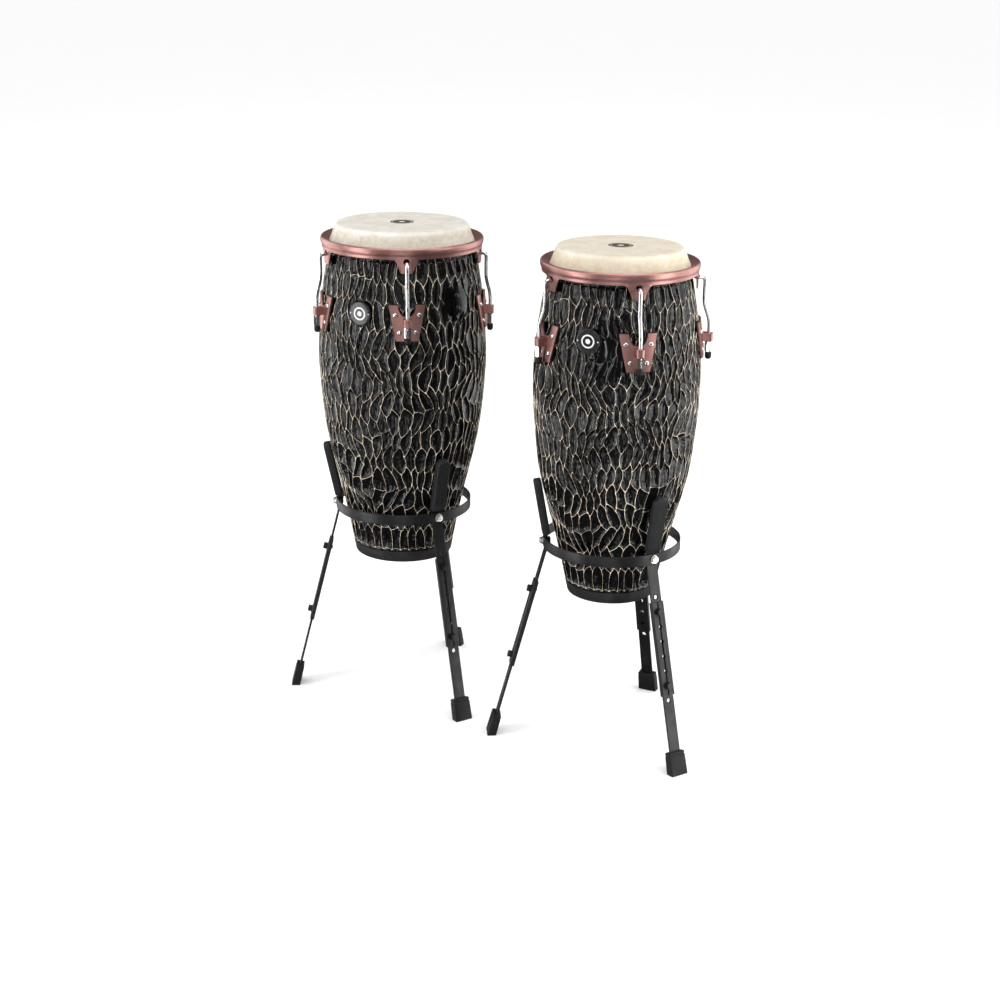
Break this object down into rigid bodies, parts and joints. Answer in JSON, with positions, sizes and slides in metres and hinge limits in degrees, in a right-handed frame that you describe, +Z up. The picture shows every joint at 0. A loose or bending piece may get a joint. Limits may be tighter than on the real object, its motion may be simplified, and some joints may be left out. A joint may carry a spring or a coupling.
{
  "type": "conga drums",
  "caption": "Tall conga drums with carved black shells, hide heads and copper-coloured tension rims, each hung in an adjustable three-legged basket stand.",
  "frame": {"origin": "on the floor, under the middle of the whole pair's bounding box", "axes": "+Z up out of the playing surfaces; -Y towards the player; +X from the larger drum towards the smaller one"},
  "size_m": [0.8834, 0.6812, 1.03],
  "materials": {
    "shell_lacquer": "gloss black lacquer over a carved wooden shell with bare tan ridges",
    "rawhide": "matt natural hide",
    "antique_copper": "satin antique copper",
    "chrome": "bright chrome",
    "hoop_steel": "plain steel ring",
    "stand_black": "black powder coat",
    "black_rubber": "matt black rubber"
  },
  "bodies": {
    "conga_stand": {"conga_stand_ring": "stand_black", "conga_upper_leg_1": "stand_black", "conga_upper_leg_2": "stand_black", "conga_upper_leg_3": "stand_black"},
    "conga_drum": {"conga_shell": "shell_lacquer", "conga_base_ring": "black_rubber", "conga_head_skin": "rawhide", "conga_lug_plate_1": "antique_copper", "conga_lug_plate_2": "antique_copper", "conga_lug_plate_3": "antique_copper", "conga_lug_plate_4": "antique_copper", "conga_lug_plate_5": "antique_copper"},
    "conga_tension_rim": {"conga_rim": "antique_copper", "conga_flesh_hoop": "hoop_steel", "conga_hook_bolt_1": "chrome", "conga_hook_bolt_2": "chrome", "conga_hook_bolt_3": "chrome", "conga_hook_bolt_4": "chrome", "conga_hook_bolt_5": "chrome"},
    "conga_leg_1": {"conga_lower_leg_1": "stand_black", "conga_foot_1": "black_rubber"},
    "conga_leg_2": {"conga_lower_leg_2": "stand_black", "conga_foot_2": "black_rubber"},
    "conga_leg_3": {"conga_lower_leg_3": "stand_black", "conga_foot_3": "black_rubber"},
    "conga_nut_1": {"conga_tuning_nut_1": "chrome"},
    "conga_nut_2": {"conga_tuning_nut_2": "chrome"},
    "conga_nut_3": {"conga_tuning_nut_3": "chrome"},
    "conga_nut_4": {"conga_tuning_nut_4": "chrome"},
    "conga_nut_5": {"conga_tuning_nut_5": "chrome"},
    "quinto_stand": {"quinto_stand_ring": "stand_black", "quinto_upper_leg_1": "stand_black", "quinto_upper_leg_2": "stand_black", "quinto_upper_leg_3": "stand_black"},
    "quinto_drum": {"quinto_shell": "shell_lacquer", "quinto_base_ring": "black_rubber", "quinto_head_skin": "rawhide", "quinto_lug_plate_1": "antique_copper", "quinto_lug_plate_2": "antique_copper", "quinto_lug_plate_3": "antique_copper", "quinto_lug_plate_4": "antique_copper", "quinto_lug_plate_5": "antique_copper"},
    "quinto_tension_rim": {"quinto_rim": "antique_copper", "quinto_flesh_hoop": "hoop_steel", "quinto_hook_bolt_1": "chrome", "quinto_hook_bolt_2": "chrome", "quinto_hook_bolt_3": "chrome", "quinto_hook_bolt_4": "chrome", "quinto_hook_bolt_5": "chrome"},
    "quinto_leg_1": {"quinto_lower_leg_1": "stand_black", "quinto_foot_1": "black_rubber"},
    "quinto_leg_2": {"quinto_lower_leg_2": "stand_black", "quinto_foot_2": "black_rubber"},
    "quinto_leg_3": {"quinto_lower_leg_3": "stand_black", "quinto_foot_3": "black_rubber"},
    "quinto_nut_1": {"quinto_tuning_nut_1": "chrome"},
    "quinto_nut_2": {"quinto_tuning_nut_2": "chrome"},
    "quinto_nut_3": {"quinto_tuning_nut_3": "chrome"},
    "quinto_nut_4": {"quinto_tuning_nut_4": "chrome"},
    "quinto_nut_5": {"quinto_tuning_nut_5": "chrome"}
  },
  "joints": [
    {"name": "conga_lift", "type": "slide", "parent": "conga_stand", "child": "conga_drum", "axis": [0, 0, 1], "range_m": [0, 0.26]},
    {"name": "conga_tension", "type": "slide", "parent": "conga_drum", "child": "conga_tension_rim", "axis": [0, 0, -1], "range_m": [0, 0.012]},
    {"name": "conga_leg_length_1", "type": "slide", "parent": "conga_stand", "child": "conga_leg_1", "axis": [0.2414, 0.0254, 0.9701], "range_m": [-0.03, 0.06]},
    {"name": "conga_leg_length_2", "type": "slide", "parent": "conga_stand", "child": "conga_leg_2", "axis": [-0.1427, 0.1964, 0.9701], "range_m": [-0.03, 0.06]},
    {"name": "conga_leg_length_3", "type": "slide", "parent": "conga_stand", "child": "conga_leg_3", "axis": [-0.0987, -0.2218, 0.9701], "range_m": [-0.03, 0.06]},
    {"name": "conga_nut_turn_1", "type": "hinge", "parent": "conga_drum", "child": "conga_nut_1", "pos_m": [-0.16224, -0.08283, 0.8375], "axis": [0, 0, 1], "range_deg": [0, 3460]},
    {"name": "conga_nut_turn_2", "type": "hinge", "parent": "conga_drum", "child": "conga_nut_2", "pos_m": [-0.00443, 0.07225, 0.8375], "axis": [0, 0, 1], "range_deg": [0, 3460]},
    {"name": "conga_nut_turn_3", "type": "hinge", "parent": "conga_drum", "child": "conga_nut_3", "pos_m": [-0.10315, 0.27025, 0.8375], "axis": [0, 0, 1], "range_deg": [0, 3460]},
    {"name": "conga_nut_turn_4", "type": "hinge", "parent": "conga_drum", "child": "conga_nut_4", "pos_m": [-0.32197, 0.23755, 0.8375], "axis": [0, 0, 1], "range_deg": [0, 3460]},
    {"name": "conga_nut_turn_5", "type": "hinge", "parent": "conga_drum", "child": "conga_nut_5", "pos_m": [-0.35849, 0.01933, 0.8375], "axis": [0, 0, 1], "range_deg": [0, 3460]},
    {"name": "quinto_stand_spacing", "type": "slide", "parent": "conga_stand", "child": "quinto_stand", "axis": [1, 0, 0], "range_m": [0, 0.3]},
    {"name": "quinto_lift", "type": "slide", "parent": "quinto_stand", "child": "quinto_drum", "axis": [0, 0, 1], "range_m": [0, 0.26]},
    {"name": "quinto_tension", "type": "slide", "parent": "quinto_drum", "child": "quinto_tension_rim", "axis": [0, 0, -1], "range_m": [0, 0.012]},
    {"name": "quinto_leg_length_1", "type": "slide", "parent": "quinto_stand", "child": "quinto_leg_1", "axis": [0.2524, 0.0265, 0.9673], "range_m": [-0.03, 0.06]},
    {"name": "quinto_leg_length_2", "type": "slide", "parent": "quinto_stand", "child": "quinto_leg_2", "axis": [-0.1492, 0.2053, 0.9673], "range_m": [-0.03, 0.06]},
    {"name": "quinto_leg_length_3", "type": "slide", "parent": "quinto_stand", "child": "quinto_leg_3", "axis": [-0.1032, -0.2318, 0.9673], "range_m": [-0.03, 0.06]},
    {"name": "quinto_nut_turn_1", "type": "hinge", "parent": "quinto_drum", "child": "quinto_nut_1", "pos_m": [0.29522, -0.29944, 0.8375], "axis": [0, 0, 1], "range_deg": [0, 3460]},
    {"name": "quinto_nut_turn_2", "type": "hinge", "parent": "quinto_drum", "child": "quinto_nut_2", "pos_m": [0.43369, -0.14293, 0.8375], "axis": [0, 0, 1], "range_deg": [0, 3460]},
    {"name": "quinto_nut_turn_3", "type": "hinge", "parent": "quinto_drum", "child": "quinto_nut_3", "pos_m": [0.32763, 0.03713, 0.8375], "axis": [0, 0, 1], "range_deg": [0, 3460]},
    {"name": "quinto_nut_turn_4", "type": "hinge", "parent": "quinto_drum", "child": "quinto_nut_4", "pos_m": [0.12361, -0.0081, 0.8375], "axis": [0, 0, 1], "range_deg": [0, 3460]},
    {"name": "quinto_nut_turn_5", "type": "hinge", "parent": "quinto_drum", "child": "quinto_nut_5", "pos_m": [0.10358, -0.21611, 0.8375], "axis": [0, 0, 1], "range_deg": [0, 3460]}
  ],
  "couplings": [
    {"joint": "conga_nut_turn_1", "follows": "conga_tension", "rad_per_m": 5026.5},
    {"joint": "conga_nut_turn_2", "follows": "conga_tension", "rad_per_m": 5026.5},
    {"joint": "conga_nut_turn_3", "follows": "conga_tension", "rad_per_m": 5026.5},
    {"joint": "conga_nut_turn_4", "follows": "conga_tension", "rad_per_m": 5026.5},
    {"joint": "conga_nut_turn_5", "follows": "conga_tension", "rad_per_m": 5026.5},
    {"joint": "quinto_nut_turn_1", "follows": "quinto_tension", "rad_per_m": 5026.5},
    {"joint": "quinto_nut_turn_2", "follows": "quinto_tension", "rad_per_m": 5026.5},
    {"joint": "quinto_nut_turn_3", "follows": "quinto_tension", "rad_per_m": 5026.5},
    {"joint": "quinto_nut_turn_4", "follows": "quinto_tension", "rad_per_m": 5026.5},
    {"joint": "quinto_nut_turn_5", "follows": "quinto_tension", "rad_per_m": 5026.5}
  ]
}
